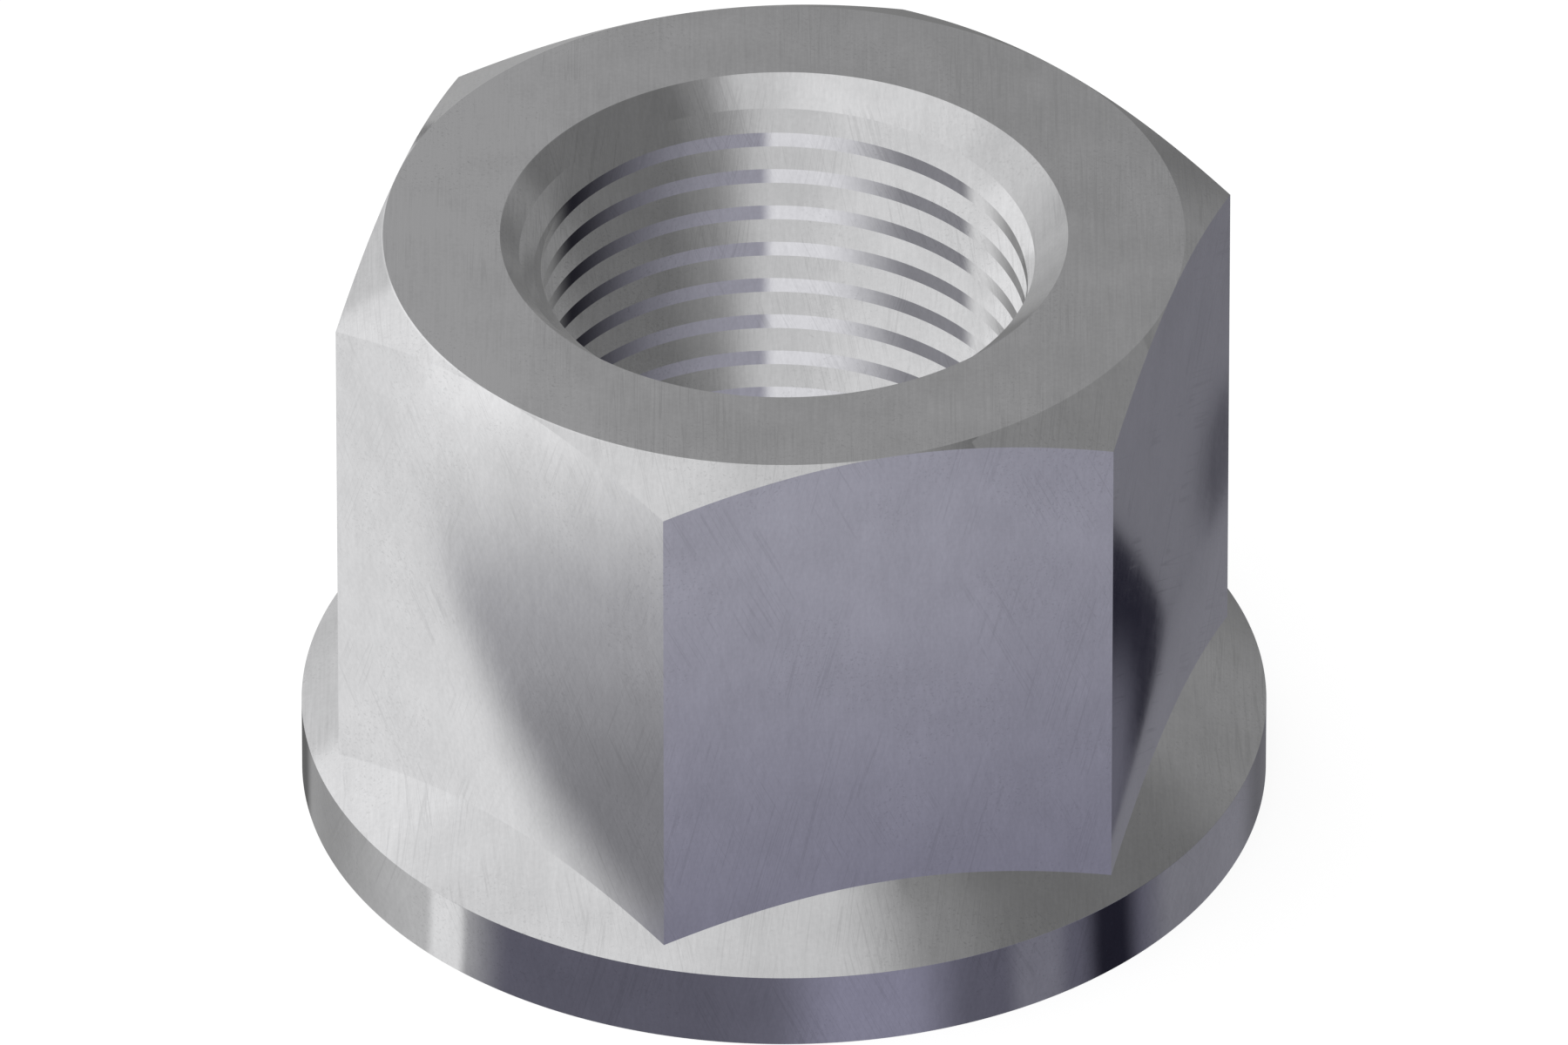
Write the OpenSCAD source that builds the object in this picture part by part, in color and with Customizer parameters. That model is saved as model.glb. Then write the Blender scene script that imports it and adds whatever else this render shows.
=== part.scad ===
// Hexagon nut with an integral collar, formed and turned from one piece of steel and tapped right through.
// The origin is the centre of the bearing face, and the thread runs along +Z.

/* [Thread] */
// Nominal diameter of the metric thread, where its groove comes to a point
thread_d = 24; // [20:0.5:25]
// Pitch of the thread
thread_pitch = 2; // [1:0.25:3]
// Height of the thread's groove where it first crosses the +X side of the bore
thread_start_z = 0.92; // [0:0.01:1]
// Diameter of the countersinks at the faces
countersink_d = 25.5; // [24.5:0.25:32]
// Included angle of the countersinks
countersink_angle = 90; // [60:5:120]

/* [Hexagon] */
// Width across the flats
across_flats = 36; // [33:0.5:37.5]
// Height from the bearing face to the top face
nut_h = 29.1; // [20:0.1:48]
// Fall of the corner chamfer, measured from the top face
chamfer_angle = 30; // [15:1:45]

/* [Collar] */
// Diameter of the collar
collar_d = 43.6; // [42:0.1:60]
// Height of the collar's upright rim
collar_rim_h = 3.65; // [2:0.05:10]
// Rise of the collar's upper side, measured from the bearing face
collar_slope_angle = 30; // [10:1:45]

/* [Hidden] */
// An internal thread's crest lies 5/8 of the sharp triangle's height inside the nominal diameter
thread_depth = 5 / 8 * cos(30) * thread_pitch;
thread_crest_d = thread_d - 2 * thread_depth;
// Each side of the groove leans this far from square to the axis
flank_angle = 30;
// Straight steps that make up one turn of the thread
turn_steps = 36;
countersink_depth = (countersink_d - thread_crest_d) / 2 / tan(countersink_angle / 2);

across_corners = across_flats / cos(30);
// The chamfer starts on the circle that touches all six flats
top_face_d = across_flats;
// The collar's slope is carried on under the hexagon for this share of the flats' width
slope_end_d = 0.9 * across_flats;

// Cutters run past the faces and the corners by this much
overrun = 1;
// The groove's cutter starts this far inside the bore's wall
groove_overrun = 0.4;
$fn = 180;

// Lathe outline of the hexagon: a flat top face with a cone falling away over the corners
module chamfered_envelope() {
    reach_r = across_corners / 2 + overrun;
    fall = (reach_r - top_face_d / 2) * tan(chamfer_angle);
    rotate_extrude()
        polygon([
            [0, 0],
            [reach_r, 0],
            [reach_r, nut_h - fall],
            [top_face_d / 2, nut_h],
            [0, nut_h]
        ]);
}

// Six flats, with each flat's upper edge curved where the chamfer's cone cuts it
module hexagon() {
    intersection() {
        linear_extrude(nut_h)
            circle(d = across_corners, $fn = 6);
        chamfered_envelope();
    }
}

// Round collar with an upright rim, and a sloping upper side that meets the flats in curves
module collar() {
    rise = (collar_d - slope_end_d) / 2 * tan(collar_slope_angle);
    rotate_extrude()
        polygon([
            [0, 0],
            [collar_d / 2, 0],
            [collar_d / 2, collar_rim_h],
            [slope_end_d / 2, collar_rim_h + rise],
            [0, collar_rim_h + rise]
        ]);
}

// Cone that opens the thread's mouth on the face at z = 0, carried on past that face
module countersink() {
    flare = overrun * tan(countersink_angle / 2);
    translate([0, 0, -overrun])
        cylinder(
            h = overrun + countersink_depth,
            d1 = countersink_d + 2 * flare,
            d2 = thread_crest_d
        );
}

// Through hole at the thread's crest diameter, countersunk at both faces
module thread_hole() {
    translate([0, 0, -overrun])
        cylinder(h = nut_h + 2 * overrun, d = thread_crest_d);
    countersink();
    translate([0, 0, nut_h])
        mirror([0, 0, 1])
            countersink();
}

// Corners of the V that cuts the groove, as radius and height from the groove's middle
function groove_corners() =
    let (
        base_r = thread_crest_d / 2 - groove_overrun,
        half_base = (thread_d / 2 - base_r) * tan(flank_angle)
    )
        [[base_r, -half_base], [thread_d / 2, 0], [base_r, half_base]];

// The V carried round a right-hand helix, from below the bearing face to above the top face
module thread_groove() {
    corners = groove_corners();
    sides = len(corners);
    bottom_z = thread_start_z - 2 * thread_pitch;
    turns = ceil((nut_h - bottom_z) / thread_pitch) + 1;
    rings = turns * turn_steps;
    points = [
        for (ring = [0:rings], corner = corners)
            let (turned = 360 * ring / turn_steps)
                [
                    corner[0] * cos(turned),
                    corner[0] * sin(turned),
                    corner[1] + bottom_z + thread_pitch * ring / turn_steps
                ]
    ];
    skin = [
        for (ring = [0:rings - 1], side = [0:sides - 1])
            let (
                here = ring * sides + side,
                beside = ring * sides + (side + 1) % sides
            )
                each [
                    [here, beside, beside + sides],
                    [here, beside + sides, here + sides]
                ]
    ];
    first_end = [for (side = [sides - 1:-1:0]) side];
    last_end = [for (side = [0:sides - 1]) rings * sides + side];
    polyhedron(points, concat(skin, [first_end, last_end]));
}

module collar_nut() {
    color("lightslategray")
        difference() {
            union() {
                hexagon();
                collar();
            }
            thread_hole();
            thread_groove();
        }
}

collar_nut();
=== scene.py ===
import math

import bpy
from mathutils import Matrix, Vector


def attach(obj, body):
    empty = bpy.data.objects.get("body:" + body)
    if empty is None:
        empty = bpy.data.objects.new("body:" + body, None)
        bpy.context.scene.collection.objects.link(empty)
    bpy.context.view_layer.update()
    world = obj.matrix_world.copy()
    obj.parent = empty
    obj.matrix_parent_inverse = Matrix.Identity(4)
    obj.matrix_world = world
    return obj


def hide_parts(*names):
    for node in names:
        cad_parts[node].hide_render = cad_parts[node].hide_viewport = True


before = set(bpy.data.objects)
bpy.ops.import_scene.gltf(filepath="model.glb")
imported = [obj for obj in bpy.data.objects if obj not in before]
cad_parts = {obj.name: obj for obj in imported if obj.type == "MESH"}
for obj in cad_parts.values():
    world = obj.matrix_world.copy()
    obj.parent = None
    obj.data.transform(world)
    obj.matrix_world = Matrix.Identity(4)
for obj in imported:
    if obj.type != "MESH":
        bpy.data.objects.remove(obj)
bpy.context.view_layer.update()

# Camera. It looks from 45 degrees round the nut, and down as steeply as makes the three axes of a cube look
# equally long. A very long lens far away keeps the nut's upright edges parallel.
mm = 0.001
view_turn = math.radians(45)
view_rise = math.atan(1 / math.sqrt(2))
front = Vector((math.sin(view_turn), -math.cos(view_turn), 0))
right = Vector((math.cos(view_turn), math.sin(view_turn), 0))
up = Vector((0, 0, 1))
picture_width = 70.66 * mm
aim_height = 13.24 * mm
lens_mm = 1000
sensor_mm = 36
camera_distance = picture_width * lens_mm / sensor_mm
to_camera = math.cos(view_rise) * front + math.sin(view_rise) * up
bpy.ops.object.camera_add(
    location=aim_height * up + camera_distance * to_camera,
    rotation=(math.pi / 2 - view_rise, 0, view_turn),
)
camera = bpy.context.object
camera.name = "camera"
camera.data.lens = lens_mm
camera.data.sensor_width = sensor_mm
camera.data.clip_start = 0.1
camera.data.clip_end = 100
bpy.context.scene.camera = camera
bpy.context.scene.view_settings.view_transform = "Standard"
bpy.context.scene.view_settings.look = "None"


# Studio. One big soft box fills the left of the room and leans over the nut, and the right side is kept
# dim. The camera sees a plain white backdrop instead.
class Wire:
    """A shader socket that can be used in sums. Each sum adds its Math node to the tree of that socket."""

    def __init__(self, tree, socket=None):
        self.tree = tree
        self.socket = socket

    def node(self, kind, settings, sockets, out=0):
        """Adds a node, first its settings and then its sockets' values or wires, and gives one output."""
        made = self.tree.nodes.new(kind)
        for name, value in settings.items():
            setattr(made, name, value)
        for name, value in sockets.items():
            if isinstance(value, Wire):
                self.tree.links.new(value.socket, made.inputs[name])
            else:
                made.inputs[name].default_value = value
        return Wire(self.tree, made.outputs[out] if made.outputs else None)

    def math(self, operation, *values):
        return self.node("ShaderNodeMath", {"operation": operation}, dict(enumerate(values)))

    def __add__(self, other):
        return self.math("ADD", self, other)

    def __radd__(self, other):
        return self.math("ADD", other, self)

    def __sub__(self, other):
        return self.math("SUBTRACT", self, other)

    def __rsub__(self, other):
        return self.math("SUBTRACT", other, self)

    def __mul__(self, other):
        return self.math("MULTIPLY", self, other)

    def __rmul__(self, other):
        return self.math("MULTIPLY", other, self)

    def __truediv__(self, other):
        return self.math("DIVIDE", self, other)

    def __rtruediv__(self, other):
        return self.math("DIVIDE", other, self)

    def size(self):
        """How far this number lies from 0."""
        return self.math("ABSOLUTE", self)

    def along(self, direction):
        """How far this vector reaches along a direction."""
        settings = {"operation": "DOT_PRODUCT"}
        return self.node("ShaderNodeVectorMath", settings, {0: self, 1: direction}, out="Value")

    def rise(self, start, end):
        """0 before start, 1 past end and a soft step between them. An end below start turns it round."""
        low, high = min(start, end), max(start, end)
        settings = {"interpolation_type": "SMOOTHSTEP"}
        sockets = {"Value": self, "From Min": low, "From Max": high}
        step = self.node("ShaderNodeMapRange", settings, sockets)
        return step if end > start else 1 - step

    def mix(self, low, high):
        """The colour low where this wire is 0 and the colour high where it is 1."""
        return self.node("ShaderNodeMix", {"data_type": "RGBA"}, {0: self, 6: low, 7: high}, out=2)


def gray(level, violet=0.0):
    """A colour of that brightness, with its blue raised by a share and its green lowered by far less."""
    less_green = 0.06 * violet
    return (level, level * (1 - less_green), level * (1 + violet), 1)


world = bpy.data.worlds.new("studio")
bpy.context.scene.world = world
world.use_nodes = True
world.node_tree.nodes.clear()
room = Wire(world.node_tree)

# Each way of looking is told by its shares to the front, to the right and upward, from -1 to 1. The soft
# box ends on the right along a line that leans, and bends a little in the middle.
looked = room.node("ShaderNodeTexCoord", {}, {}, out="Generated")
to_front = looked.along(front)
to_right = looked.along(right)
upward = looked.along(up)
edge_lean = 0.27
edge_bend = 0.03
across_room = to_right - edge_lean * to_front + edge_bend * to_front.size()

# Right side: dim, and a little lighter far behind and beside the soft box
dim_side = to_front.rise(-0.38, -0.62).mix(gray(0.225), gray(0.345))
dim_side = upward.rise(0.27, 0).mix(dim_side, gray(0.235))
dim_side = across_room.rise(0.46, 0.3).mix(dim_side, gray(0.34))

# Left side: brightest half way up and weaker toward the floor, with a bright front and a soft left end
soft_box = upward.rise(0.77, 0.66).mix(gray(1), gray(1.19))
soft_box = upward.rise(0.455, 0.42).mix(soft_box, gray(0.87))
soft_box = upward.rise(0.2, 0.04).mix(soft_box, gray(0.66))
soft_box = to_front.rise(0.12, 0.4).mix(soft_box, gray(1.08))
left_end = upward.rise(0, 0.42).mix(gray(0.6), gray(0.92))
left_end = upward.rise(0.53, 0.65).mix(left_end, gray(1.05))
soft_box = to_right.rise(-0.62, -0.66).mix(soft_box, left_end)
soft_box = across_room.rise(-0.27, 0).mix(soft_box, gray(0.84))

# Both sides together, with the far floor under them
both_sides = across_room.rise(0.31, 0.06).mix(dim_side, soft_box)
far_floor = to_right.rise(-0.3, -0.5).mix(gray(0.25), gray(0.6))
all_round = upward.rise(-0.02, 0.02).mix(far_floor, both_sides)
to_eye = room.node("ShaderNodeLightPath", {}, {}, out="Is Camera Ray")
light = room.node("ShaderNodeBackground", {}, {"Color": to_eye.mix(all_round, gray(1))})
room.node("ShaderNodeOutputWorld", {}, {"Surface": light})


# Floor. It is one plain sheet of white paper, which shines a little by itself so that it comes out as pale
# as the backdrop. It lies a hair below the bearing face, and the steel doesn't mirror it.
def new_page(name):
    """A new material with no nodes in it, and a wire to build them with."""
    material = bpy.data.materials.new(name)
    material.use_nodes = True
    material.node_tree.nodes.clear()
    return material, Wire(material.node_tree)


floor_width = 20
floor_z = -0.02 * mm
bpy.ops.object.select_all(action="DESELECT")
bpy.ops.mesh.primitive_plane_add(size=floor_width, location=(0, 0, floor_z))
floor = bpy.context.object
floor.name = "floor"
floor.visible_glossy = False
paper, page = new_page("white_paper")
lit = page.node("ShaderNodeBsdfDiffuse", {}, {"Color": gray(0.25)})
glow = page.node("ShaderNodeEmission", {}, {"Color": gray(1), "Strength": 0.88})
both = page.node("ShaderNodeAddShader", {}, {0: lit, 1: glow})
page.node("ShaderNodeOutputMaterial", {}, {"Surface": both})
floor.data.materials.append(paper)


# Nut body. It is forged from one piece of steel, with six flats and a collar left standing at the foot. Its
# corners are turned off in a cone, and both ends of the bore are countersunk before the thread is tapped.
lathe_steps = 360


def turned_blank(radius, height):
    """A round bar that stands on the bearing face."""
    bpy.ops.object.select_all(action="DESELECT")
    bpy.ops.mesh.primitive_cylinder_add(
        vertices=lathe_steps, radius=radius, depth=height, location=(0, 0, height / 2)
    )
    bpy.ops.object.transform_apply(location=True, rotation=True, scale=True)
    return bpy.context.object


def turn_slope(bar, run, fall_angle):
    """Draws the bar's top face up and in by that run, at that angle from the level."""
    bpy.context.view_layer.objects.active = bar
    bpy.ops.object.mode_set(mode="EDIT")
    bpy.ops.mesh.select_mode(type="FACE")
    bpy.ops.mesh.select_all(action="DESELECT")
    bpy.ops.object.mode_set(mode="OBJECT")
    for face in bar.data.polygons:
        face.select = face.normal.z > 0.9
    bpy.ops.object.mode_set(mode="EDIT")
    bpy.ops.mesh.inset(thickness=run, depth=run * math.tan(fall_angle))
    bpy.ops.object.mode_set(mode="OBJECT")


def combine(body, tool, operation):
    """Adds the tool's shape to the body, cuts it away or keeps what they share, and removes the tool."""
    bpy.ops.object.select_all(action="DESELECT")
    bpy.context.view_layer.objects.active = body
    change = body.modifiers.new(operation.lower(), "BOOLEAN")
    change.operation = operation
    change.solver = "MANIFOLD"
    change.object = tool
    bpy.ops.object.modifier_apply(modifier=change.name)
    bpy.data.objects.remove(tool)


# Hexagon, turned off over its corners
across_flats = 36 * mm
nut_height = 29.1 * mm
across_corners = across_flats / math.cos(math.radians(30))
bpy.ops.object.select_all(action="DESELECT")
bpy.ops.mesh.primitive_cylinder_add(
    vertices=6,
    radius=across_corners / 2,
    depth=nut_height,
    location=(0, 0, nut_height / 2),
    rotation=(0, 0, math.radians(30)),
)
nut = bpy.context.object
nut.name = "nut_body"
bpy.ops.object.transform_apply(location=True, rotation=True, scale=True)
chamfer_angle = math.radians(30)
chamfer_run = 4 * mm
cone = turned_blank(across_flats / 2 + chamfer_run, nut_height - chamfer_run * math.tan(chamfer_angle))
turn_slope(cone, chamfer_run, chamfer_angle)
combine(nut, cone, "INTERSECT")

# Collar, whose upper side slopes up to the flats and is carried on under them
collar_d = 43.6 * mm
collar_rim = 3.65 * mm
collar_slope_angle = math.radians(30)
slope_end_d = 0.9 * across_flats
collar = turned_blank(collar_d / 2, collar_rim)
turn_slope(collar, (collar_d - slope_end_d) / 2, collar_slope_angle)
combine(nut, collar, "UNION")

# Bore and countersinks
thread_d = 24 * mm
thread_pitch = 2 * mm
thread_depth = 5 / 8 * math.cos(math.radians(30)) * thread_pitch
crest_r = thread_d / 2 - thread_depth
countersink_d = 25.5 * mm
overrun = 1 * mm
bpy.ops.object.select_all(action="DESELECT")
bpy.ops.mesh.primitive_cylinder_add(
    vertices=lathe_steps, radius=crest_r, depth=nut_height + 2 * overrun, location=(0, 0, nut_height / 2)
)
combine(nut, bpy.context.object, "DIFFERENCE")
cone_height = countersink_d / 2 - crest_r + 2 * overrun
for mouth_z, outward in ((0, -1), (nut_height, 1)):
    bpy.ops.object.select_all(action="DESELECT")
    bpy.ops.mesh.primitive_cone_add(
        vertices=lathe_steps,
        radius1=crest_r - overrun,
        radius2=countersink_d / 2 + overrun,
        depth=cone_height,
        location=(0, 0, mouth_z + outward * (overrun - cone_height / 2)),
        rotation=(0 if outward > 0 else math.pi, 0, 0),
    )
    combine(nut, bpy.context.object, "DIFFERENCE")


# Thread: a three-sided tap, whose corner makes the 60 degree groove, wound through the bore from end to end
def wind(outline, pitch, turns):
    """Carries a flat outline up round the bore's axis in a right-hand helix, by that pitch each turn."""
    turn_steps = 180
    winder = outline.modifiers.new("winder", "SCREW")
    winder.axis = "Z"
    winder.angle = 2 * math.pi
    winder.screw_offset = pitch
    winder.iterations = turns
    winder.steps = turn_steps
    winder.render_steps = turn_steps
    bpy.ops.object.modifier_apply(modifier=winder.name)


# The tap reaches this far inward from the bore's wall, and an even triangle is 1.5 times its radius tall
tap_inside = 0.4 * mm
tap_size = (thread_depth + tap_inside) / 1.5
start_z = 0.92 * mm
turns_below = 2
turns_in_all = 19
bpy.ops.object.select_all(action="DESELECT")
bpy.ops.mesh.primitive_circle_add(
    vertices=3,
    radius=tap_size,
    location=(thread_d / 2 - tap_size, 0, start_z - turns_below * thread_pitch),
    rotation=(math.pi / 2, math.pi / 2, 0),
)
tap = bpy.context.object
bpy.ops.object.transform_apply(location=True, rotation=True, scale=True)
wind(tap, thread_pitch, turns_in_all)
bpy.ops.object.mode_set(mode="EDIT")
bpy.ops.mesh.select_all(action="SELECT")
bpy.ops.mesh.fill_holes(sides=3)
bpy.ops.mesh.select_all(action="SELECT")
bpy.ops.mesh.normals_make_consistent(inside=False)
bpy.ops.object.mode_set(mode="OBJECT")
combine(nut, tap, "DIFFERENCE")

# The cuts leave points that lie on each other
same_place = 0.001 * mm
sharp_edge = math.radians(25)
bpy.ops.object.select_all(action="DESELECT")
nut.select_set(True)
bpy.context.view_layer.objects.active = nut
bpy.ops.object.mode_set(mode="EDIT")
bpy.ops.mesh.select_all(action="SELECT")
bpy.ops.mesh.remove_doubles(threshold=same_place)
bpy.ops.mesh.normals_make_consistent(inside=False)
bpy.ops.object.mode_set(mode="OBJECT")
bpy.ops.object.shade_smooth_by_angle(angle=sharp_edge)

# Bare steel, machined and then handled: mottled, with a fine grain and hair-thin scratches that run up its
# sides and straight back over its top, and a painted sheen that makes the top a little lighter toward the
# left
steel = bpy.data.materials.new("steel")
steel.use_nodes = True
surface = Wire(steel.node_tree)
bsdf = steel.node_tree.nodes["Principled BSDF"]
place = surface.node("ShaderNodeTexCoord", {}, {}, out="Object")


def cloud(size, detail=2.0, moved_mm=0.0):
    """Soft noise round 0, with spots of that size. A move makes another pattern of the same kind."""
    way_moved = (moved_mm * mm, 0, 0)
    moved = surface.node("ShaderNodeVectorMath", {"operation": "ADD"}, {0: place, 1: way_moved})
    noise = surface.node("ShaderNodeTexNoise", {}, {"Vector": moved, "Scale": 1 / size, "Detail": detail})
    return noise - 0.5


def streaks(lean_angle, width, length):
    """Soft noise round 0 in streaks of that width and length, that lean to the left by an angle."""
    lean = math.radians(lean_angle)
    sockets = {
        "X": place.along((math.cos(lean) * right + math.sin(lean) * up) / width),
        "Y": place.along(front / length),
        "Z": place.along((math.cos(lean) * up - math.sin(lean) * right) / length),
    }
    drawn = surface.node("ShaderNodeCombineXYZ", {}, sockets)
    return surface.node("ShaderNodeTexNoise", {}, {"Vector": drawn, "Scale": 1, "Detail": 1}) - 0.5


def scratches(lean_angle, patch_size, moved_mm):
    """Hair-thin scratches that lean to the left by an angle, in patches of that size."""
    spacing = 0.3 * mm
    length = 25 * mm
    lines = streaks(lean_angle, spacing, length).size().rise(0.03, 0)
    return lines * cloud(patch_size, 1, moved_mm).rise(0, 0.12)


grain = streaks(0, 0.12 * mm, 4 * mm) + streaks(14, 0.1 * mm, 3 * mm) + streaks(-18, 0.14 * mm, 3 * mm)
grain = grain * (1 / 3)
hairs = scratches(24, 4 * mm, 40) + scratches(-14, 5 * mm, 90)
top_mm = nut_height / mm
on_top = place.along(up / mm).rise(top_mm - 0.06, top_mm - 0.01)
# Painted sheen: the top face is painted lighter toward its left side, where the soft box stands
top_painted_sheen = on_top * place.along(right / mm).rise(-2, -18)
flecks = cloud(0.13 * mm, 1).rise(0.09, 0.3) * cloud(5 * mm, 2, 130).rise(-0.02, 0.12)
tone = 0.5 + 1.1 * grain + 0.9 * cloud(3 * mm) + 0.5 * cloud(22 * mm, 0) + 0.6 * top_painted_sheen
tone = tone - 0.6 * cloud(0.22 * mm) - 0.4 * hairs - 1.1 * flecks
dull_steel = (0.53, 0.53, 0.537, 1)
bright_steel = (0.67, 0.67, 0.679, 1)
colour = tone.mix(dull_steel, bright_steel)
steel.node_tree.links.new(colour.socket, bsdf.inputs["Base Color"])
roughness = 0.1 + 0.08 * grain + 0.05 * cloud(3 * mm) + 0.04 * hairs
steel.node_tree.links.new(roughness.socket, bsdf.inputs["Roughness"])
relief = surface.node("ShaderNodeBump", {}, {"Height": grain, "Strength": 1, "Distance": 0.001 * mm})
steel.node_tree.links.new(relief.socket, bsdf.inputs["Normal"])
bsdf.inputs["Metallic"].default_value = 1
nut.data.materials.clear()
nut.data.materials.append(steel)

# The nut isn't seen in its own reflections
nut.visible_glossy = False
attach(nut, "root")
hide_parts("collar_nut")


# Cards that the flats mirror, level with the collar's edge and seen by the steel alone. Places on them are
# told in millimetres ahead of the nut's axis and aside from it, where a line of sight that a flat turns
# comes to the floor.
def light_steel_only(lamp, tints, page, colour, solid=1.0):
    """Makes a surface glow in that colour where it is solid, and hides it from all but the steel."""
    clear = page.node("ShaderNodeBsdfTransparent", {}, {})
    shine = page.node("ShaderNodeEmission", {}, {"Color": colour})
    both = page.node("ShaderNodeMixShader", {}, {0: solid, 1: clear, 2: shine})
    page.node("ShaderNodeOutputMaterial", {}, {"Surface": both})
    tints.cycles.emission_sampling = "NONE"
    lamp.data.materials.append(tints)
    for ray in ("camera", "diffuse", "transmission", "volume_scatter", "shadow"):
        setattr(lamp, "visible_" + ray, False)


def round_card(name, radius, z):
    """A level card round the nut's axis, its tints, and how far a place lies ahead and aside in mm."""
    bpy.ops.object.select_all(action="DESELECT")
    bpy.ops.mesh.primitive_circle_add(vertices=64, radius=radius, fill_type="NGON", location=(0, 0, z))
    card = bpy.context.object
    card.name = name
    tints, page = new_page(name + "_tints")
    place = page.node("ShaderNodeTexCoord", {}, {}, out="Object")
    return card, tints, page, place.along(front / mm), place.along(right / mm)


def reach(one_way, other_way):
    """How far a place lies off, from its distances along two ways that are square to each other."""
    return one_way.math("SQRT", one_way * one_way + other_way * other_way)


flat_cards_r = 400 * mm
flat_cards_z = collar_rim - 0.01 * mm
flat_cards, tints, page, ahead, aside = round_card("flat_cards", flat_cards_r, flat_cards_z)

# The hexagon's corners beside the front flat, and the ways to which the three flats in view turn a line of
# sight, in degrees from the front to the right
left_corner = -15
right_corner = 45
corner_blur = 0.1
left_way = -90
front_way = 30
right_way = 150
from_front = page.math("ARCTAN2", aside, ahead) * math.degrees(1)
from_left_flat = from_front.rise(left_corner + corner_blur, left_corner - corner_blur)
from_right_flat = from_front.rise(right_corner - corner_blur, right_corner + corner_blur)
from_front_flat = 1 - from_left_flat - from_right_flat
run = flat_cards_z / mm / math.tan(view_rise)
flats_in_view = (from_left_flat, left_way), (from_front_flat, front_way), (from_right_flat, right_way)
for from_flat, way in flats_in_view:
    ahead = ahead + run * math.cos(math.radians(way)) * from_flat
    aside = aside + run * math.sin(math.radians(way)) * from_flat

# Front flat: dusk, and a little darker to the right
in_front = reach(ahead, aside).rise(22, 56).mix(gray(0.3, 0.275), gray(0.48, 0.16))
right_of_middle = aside - math.tan(math.radians(front_way)) * ahead
flats_see = (0.3 * right_of_middle.rise(-9, 9)).mix(in_front, gray(0.24, 0.3))

# Left flat: a dark wedge that is lighter toward its tip
wedge = aside.rise(-49.5, -36.5).mix(gray(1), gray(0.56, 0.04))
wedge = aside.rise(-40, -21).mix(wedge, gray(0.3, 0.06))
wedge = aside.rise(-47, -55).mix(wedge, gray(1.25))
flats_see = aside.rise(-8, -16).mix(flats_see, wedge)

# Behind the nut: dusk, and lighter to the left
far_behind = aside.rise(12, -30).mix(gray(0.235), gray(0.485))
far_behind = aside.rise(30, 90).mix(far_behind, gray(0.275))
far_behind = aside.rise(-30, -120).mix(far_behind, gray(0.58))
behind = ahead.rise(-45, -60).mix(gray(0.225), far_behind)
flats_see = ahead.rise(9, 3).mix(flats_see, behind)

# Left flat again: light behind the wedge, whose edge curves forward and grows softer away from the tip
tip_aside = -48
from_tip = page.math("MAXIMUM", aside - tip_aside, 0)
wedge_edge = 8.9 + 0.13 * from_tip + 0.0038 * from_tip * from_tip
edge_softness = 0.8 + 0.0018 * from_tip * from_tip
lit_left = ((wedge_edge - ahead) / edge_softness).rise(-1, 1)
lit_left = lit_left * aside.rise(-9, -14) * ahead.rise(-12, -6)
flats_see = lit_left.mix(flats_see, gray(1.07))

# Right flat, in millimetres along it and up it: dusk
flat_turn = math.radians(right_way / 2)
flat_r = across_flats / 2 / mm
from_flat_ahead = ahead - flat_r * math.cos(flat_turn)
from_flat_aside = aside - flat_r * math.sin(flat_turn)
across_sight = from_flat_aside * math.cos(2 * flat_turn) - from_flat_ahead * math.sin(2 * flat_turn)
along_flat = across_sight * (1 / math.cos(flat_turn))
up_flat = (from_flat_aside * math.tan(flat_turn) + from_flat_ahead) * math.tan(view_rise)
right_sees = up_flat.rise(7, 12).mix(gray(0.235, 0.13), gray(0.212, 0.14))


def from_spot(spot_along, spot_up, half_length, half_height):
    """How far a place on the right flat lies from a spot's middle, counted in the spot's half sizes."""
    return reach((along_flat - spot_along) * (1 / half_length), (up_flat - spot_up) * (1 / half_height))


# Right flat again: a smudge, and a black crescent that opens from its apex round a paler spot
smudge = from_spot(9.5, 14.2, 5, 4).rise(1.2, 0.3)
right_sees = smudge.mix(right_sees, gray(0.095, 0.2))
spot = from_spot(-11, 10.5, 1, 1.25).rise(6.6, 1.8)
inside = spot.mix(gray(0.02, 0.6), gray(0.15, 0.25))
apex_along = -0.8
apex_up = 11.5
from_apex = page.math("MAXIMUM", apex_along - along_flat, 0)
root = page.math("SQRT", from_apex)
half_width = 1.525 * root + 0.435 * from_apex
middle_up = apex_up + 0.075 * root + 0.335 * from_apex
over_middle = up_flat - middle_up
crisp_below = 1 + 1.3 * over_middle.rise(0.5, -0.5)
crescent = (crisp_below * (half_width - over_middle.size())).rise(-0.5, 0.7)
crescent = crescent * along_flat.rise(-20, -15)
right_sees = crescent.mix(right_sees, inside)
near_right_flat = from_right_flat * ahead.rise(-48, -43) * aside.rise(9, 13)
light_steel_only(flat_cards, tints, page, near_right_flat.mix(flats_see, right_sees))

# Cards that the collar's rim mirrors, round its foot. A ray that comes down beside it was turned by the rim
# at the angle from the front for which the law of the mirror holds, which three rounds of it find.
collar_r = collar_d / 2 / mm
rim_cards_r = 40 * mm
rim_cards_z = -0.05 * mm
rim_cards, tints, page, ahead, aside = round_card("rim_cards", rim_cards_r, rim_cards_z)
away = reach(ahead, aside)
from_front = page.math("ARCTAN2", aside, ahead)
angle = from_front
for _ in range(3):
    angle = (from_front + page.math("ARCSINE", collar_r / away * page.math("SINE", angle))) * 0.5
angle = angle * math.degrees(1)


def card(at_angle, half_width, soft=0.35):
    """1 on a card at that angle in degrees, 0 beside it, and a soft edge between them."""
    return ((angle - at_angle).size() * (1 / half_width)).rise(1 + soft, 1 - soft)


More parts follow.
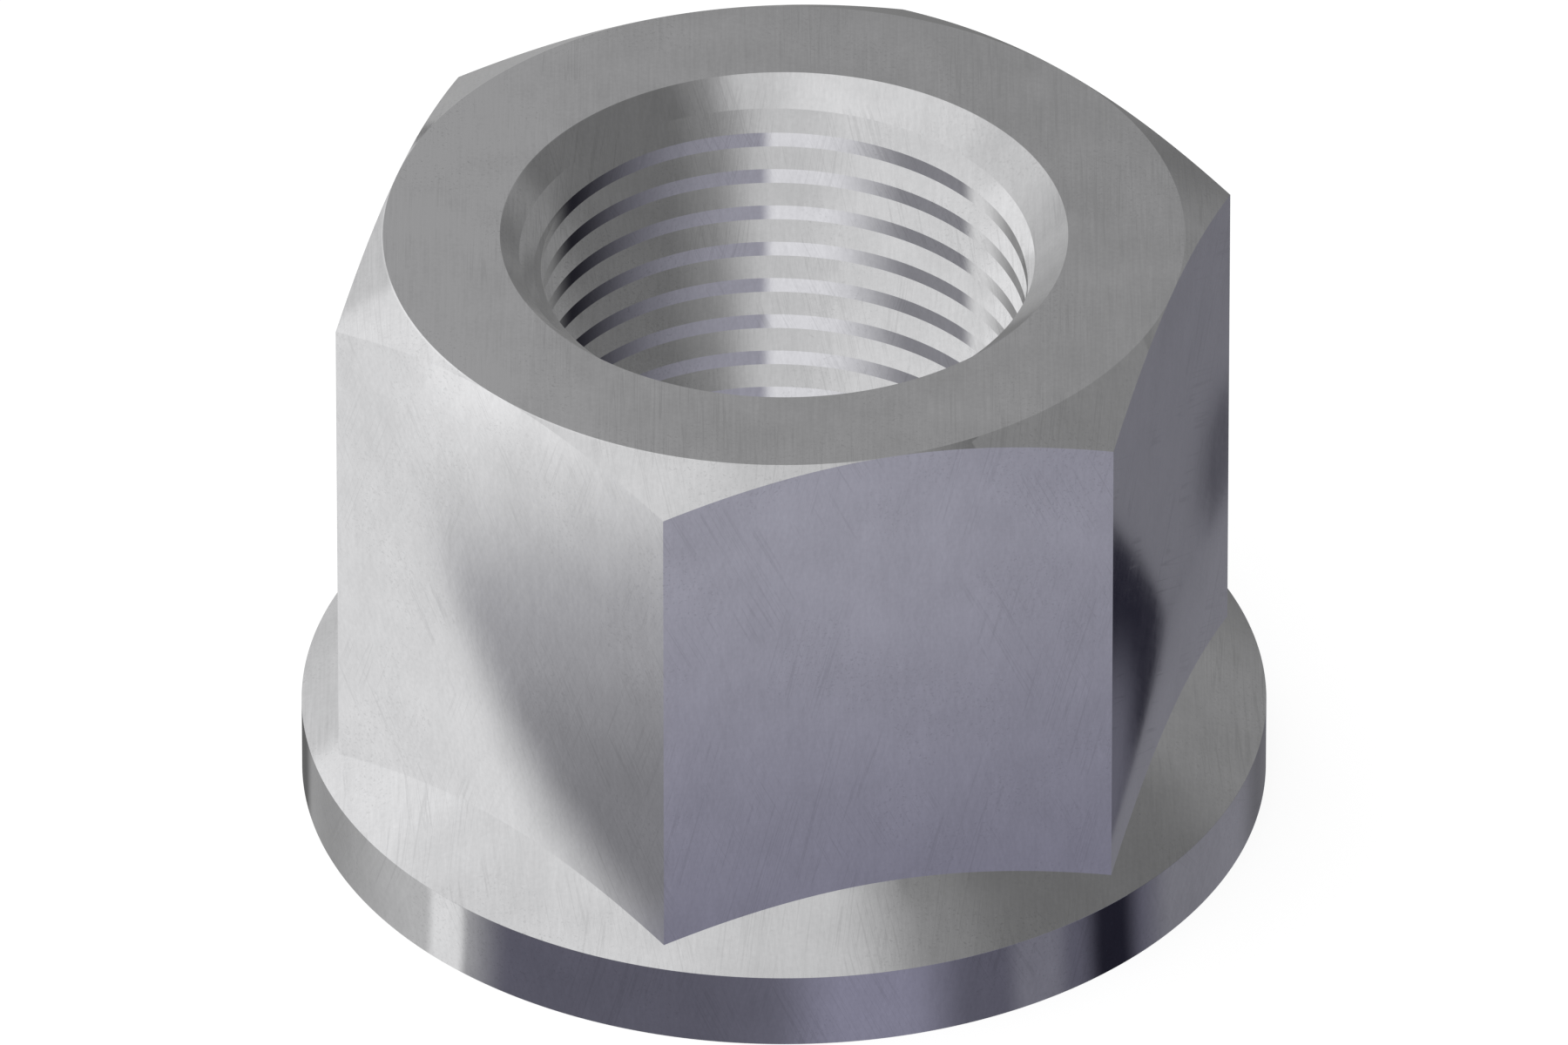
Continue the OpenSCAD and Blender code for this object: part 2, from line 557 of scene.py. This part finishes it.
rim_sees = angle.rise(-12, 0).mix(gray(0.155, 0.28), gray(0.19, 0.28))
rim_sees = angle.rise(14, 22).mix(rim_sees, gray(0.15, 0.3))
rim_sees = card(10.5, 8, 0.6).mix(rim_sees, gray(0.34, 0.3))
rim_sees = card(32, 3.5, 0.5).mix(rim_sees, gray(0.24, 0.2))
rim_sees = card(43, 3.5, 0.6).mix(rim_sees, gray(0.02, 0.6))
rim_sees = angle.rise(47, 54).mix(rim_sees, gray(0.275, 0.13))
rim_sees = angle.rise(68, 79).mix(rim_sees, gray(0.155, 0.1))
rim_left = angle.rise(-72, -48).mix(gray(0.41), gray(0.71))
rim_left = angle.rise(-77, -82).mix(rim_left, gray(0.14))
rim_sees = angle.rise(-34.3, -45.8).mix(rim_sees, rim_left)
rim_sees = card(-44.5, 2.65).mix(rim_sees, gray(1.1))
clear_of_nut = page.math("GREATER_THAN", away, collar_r)
light_steel_only(rim_cards, tints, page, rim_sees, clear_of_nut)

# Small card that hangs close over the corner between the front and right flats. Only the chamfer of that
# corner mirrors it toward the camera.
corner_card_from_front = math.radians(48)
corner_card_r = 19.8 * mm
corner_card_z = nut_height + 1 * mm
corner_card_depth = 5 * mm
corner_card_width = 12 * mm
corner_way = math.cos(corner_card_from_front) * front + math.sin(corner_card_from_front) * right
bpy.ops.object.select_all(action="DESELECT")
bpy.ops.mesh.primitive_plane_add(
    size=1,
    location=corner_card_r * corner_way + corner_card_z * up,
    rotation=(0, 0, math.atan2(corner_way.y, corner_way.x)),
)
corner_card = bpy.context.object
corner_card.name = "corner_card"
corner_card.scale = (corner_card_depth, corner_card_width, 1)
bpy.ops.object.transform_apply(location=True, rotation=True, scale=True)
tint, page = new_page("corner_card_tint")
light_steel_only(corner_card, tint, page, gray(0.34))

# Ribbon of light, wound close before the thread's crests. It glows on what is within its reach, so that
# only the crests mirror it.
ribbon_r = 10.8 * mm
ribbon_height = 1.3 * mm
ribbon_squash = 0.01
ribbon_reach = 0.9 * mm
ribbon_start_z = 1.75 * mm
ribbon_turns = 13
bpy.ops.object.select_all(action="DESELECT")
bpy.ops.mesh.primitive_circle_add(
    vertices=3,
    radius=ribbon_height / math.sqrt(3),
    location=(ribbon_r, 0, ribbon_start_z),
    rotation=(math.pi / 2, math.pi / 2, 0),
)
ribbon = bpy.context.object
ribbon.name = "light_ribbon"
ribbon.scale = (1, ribbon_squash, 1)
bpy.ops.object.transform_apply(location=True, rotation=True, scale=True)
wind(ribbon, thread_pitch, ribbon_turns)
tints, page = new_page("ribbon_tints")
place = page.node("ShaderNodeTexCoord", {}, {}, out="Object")
turn = page.math("ARCTAN2", place.along(right), place.along(-front)) * math.degrees(1)
crest_light = turn.rise(-61, -5).mix(gray(0.02, 0.3), gray(0.47, 0.15))
crest_light = turn.rise(-59.5, -73).mix(crest_light, gray(0.24))
crest_light = turn.rise(-6, -2).mix(crest_light, gray(1.08, 0.03))
crest_light = turn.rise(8, 32).mix(crest_light, gray(0.34, 0.08))
crest_light = turn.rise(46, 52).mix(crest_light, gray(0.98))
crest_light = turn.rise(52, 70).mix(crest_light, gray(0.37))
path = page.node("ShaderNodeLightPath", {}, {}, out="Ray Length")
within_reach = page.math("LESS_THAN", path, ribbon_reach)
light_steel_only(ribbon, tints, page, crest_light, within_reach)
